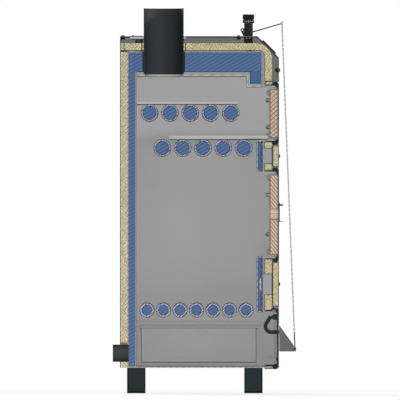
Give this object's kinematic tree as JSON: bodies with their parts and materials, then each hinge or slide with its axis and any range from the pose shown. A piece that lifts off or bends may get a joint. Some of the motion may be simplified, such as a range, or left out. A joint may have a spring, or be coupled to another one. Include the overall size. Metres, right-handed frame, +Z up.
{
  "type": "wood-fired boiler",
  "caption": "Wood-fired central-heating boiler cut open along its middle, with three opening doors, water jacket, tubed gas passages, flue and draught regulator.",
  "frame": {"origin": "on the floor, under the middle of the whole's length and width", "axes": "+X towards the doors, +Y away from the cut towards the far side panel, +Z up"},
  "size_m": [0.6406, 0.2594, 1.344],
  "materials": {
    "foot_paint": "dark grey paint, satin",
    "base_steel": "mill finish",
    "chamber_steel": "smoke-dulled plate",
    "jacket_steel": "mill finish",
    "tube_steel": "drawn tube",
    "water_fill": "solid blue filling, hatched",
    "baffle_plate": "light grey, dull",
    "pan_steel": "folded sheet",
    "wool": "pressed mineral wool",
    "casing_paint": "dark grey powder coat",
    "side_paint": "grey coat, inner face",
    "panel_black": "black moulding",
    "knob_black": "black moulding",
    "frame_iron": "blackened",
    "arm_steel": "mill finish",
    "flue_steel": "dark heat-proof paint",
    "socket_steel": "dark paint",
    "regulator_metal": "dark grey",
    "lever_steel": "dull rod",
    "chain_steel": "dull wire",
    "door_board": "pressed heat board",
    "flap_paint": "grey coat",
    "liner_steel": "thin folded sheet"
  },
  "bodies": {
    "boiler": {"front_foot": "foot_paint", "rear_foot": "foot_paint", "base_plate": "base_steel", "inner_rear_wall": "chamber_steel", "inner_side_wall": "chamber_steel", "gas_roof": "chamber_steel", "jacket_rear_wall": "jacket_steel", "jacket_side_wall": "jacket_steel", "jacket_top_plate": "jacket_steel", "jacket_front_wall": "chamber_steel", "front_water_walls": "chamber_steel", "front_spacers": "chamber_steel", "throat_plates": "baffle_plate", "upper_tubes": "tube_steel", "middle_tubes": "tube_steel", "grate_tubes": "tube_steel", "rear_water": "water_fill", "side_water": "water_fill", "top_water": "water_fill", "front_water": "water_fill", "tube_water": "water_fill", "upper_baffle": "baffle_plate", "middle_baffle": "baffle_plate", "ash_rails": "pan_steel", "ash_pan": "pan_steel", "rear_insulation": "wool", "top_insulation": "wool", "side_insulation": "wool", "front_insulation": "wool", "rear_panel": "casing_paint", "side_panel": "side_paint", "top_cover": "casing_paint", "upper_front_panel": "casing_paint", "front_panels": "casing_paint", "flue_plate": "baffle_plate", "instrument_panel": "panel_black", "cover_knobs": "knob_black", "door_frames": "frame_iron", "hinge_pins": "arm_steel", "flue_pipe": "flue_steel", "pipe_sockets": "socket_steel", "regulator_body": "regulator_metal"},
    "cleaning_door": {"cleaning_door": "casing_paint", "cleaning_door_board": "door_board", "cleaning_door_liner": "liner_steel"},
    "loading_door": {"loading_door": "casing_paint", "loading_door_board": "door_board", "loading_door_liner": "liner_steel"},
    "air_cover": {"air_cover": "frame_iron"},
    "ash_door": {"ash_door": "casing_paint"},
    "air_flap": {"air_flap": "flap_paint", "flap_arms": "frame_iron"},
    "regulator_lever": {"regulator_lever": "lever_steel"},
    "chain": {"regulator_chain": "chain_steel", "chain_ends": "chain_steel"},
    "regulator_knob": {"regulator_knob": "knob_black"}
  },
  "joints": [
    {"name": "cleaning_door_hinge", "type": "hinge", "parent": "boiler", "child": "cleaning_door", "pos_m": [0.25425, 0.1147, 0.978], "axis": [0, 0, 1], "range_deg": [0, 105]},
    {"name": "loading_door_hinge", "type": "hinge", "parent": "boiler", "child": "loading_door", "pos_m": [0.25425, 0.1147, 0.623], "axis": [0, 0, 1], "range_deg": [0, 105]},
    {"name": "ash_door_hinge", "type": "hinge", "parent": "boiler", "child": "ash_door", "pos_m": [0.25425, 0.1147, 0.192], "axis": [0, 0, 1], "range_deg": [0, 105]},
    {"name": "air_cover_swing", "type": "hinge", "parent": "loading_door", "child": "air_cover", "pos_m": [0.26725, -0.1103, 0.6575], "axis": [1, 0, 0], "range_deg": [0, 100]},
    {"name": "air_flap_hinge", "type": "hinge", "parent": "ash_door", "child": "air_flap", "pos_m": [0.24125, -0.0803, 0.265], "axis": [0, -1, 0], "range_deg": [-22, 8]},
    {"name": "lever_pivot", "type": "hinge", "parent": "boiler", "child": "regulator_lever", "pos_m": [0.15375, -0.0843, 1.2575], "axis": [0, -1, 0], "range_deg": [-11.2, 4.2]},
    {"name": "chain_hook_pivot", "type": "hinge", "parent": "regulator_lever", "child": "chain", "pos_m": [0.27055, -0.1263, 1.291], "axis": [0, -1, 0], "range_deg": [-3.2, 8.6]},
    {"name": "regulator_knob_turn", "type": "hinge", "parent": "boiler", "child": "regulator_knob", "pos_m": [0.15375, -0.0843, 1.308], "axis": [0, 0, 1], "range_deg": [-150, 150]}
  ],
  "couplings": [
    {"joint": "lever_pivot", "follows": "air_flap_hinge", "ratio": 0.5},
    {"joint": "chain_hook_pivot", "follows": "air_flap_hinge", "ratio": -0.381}
  ]
}
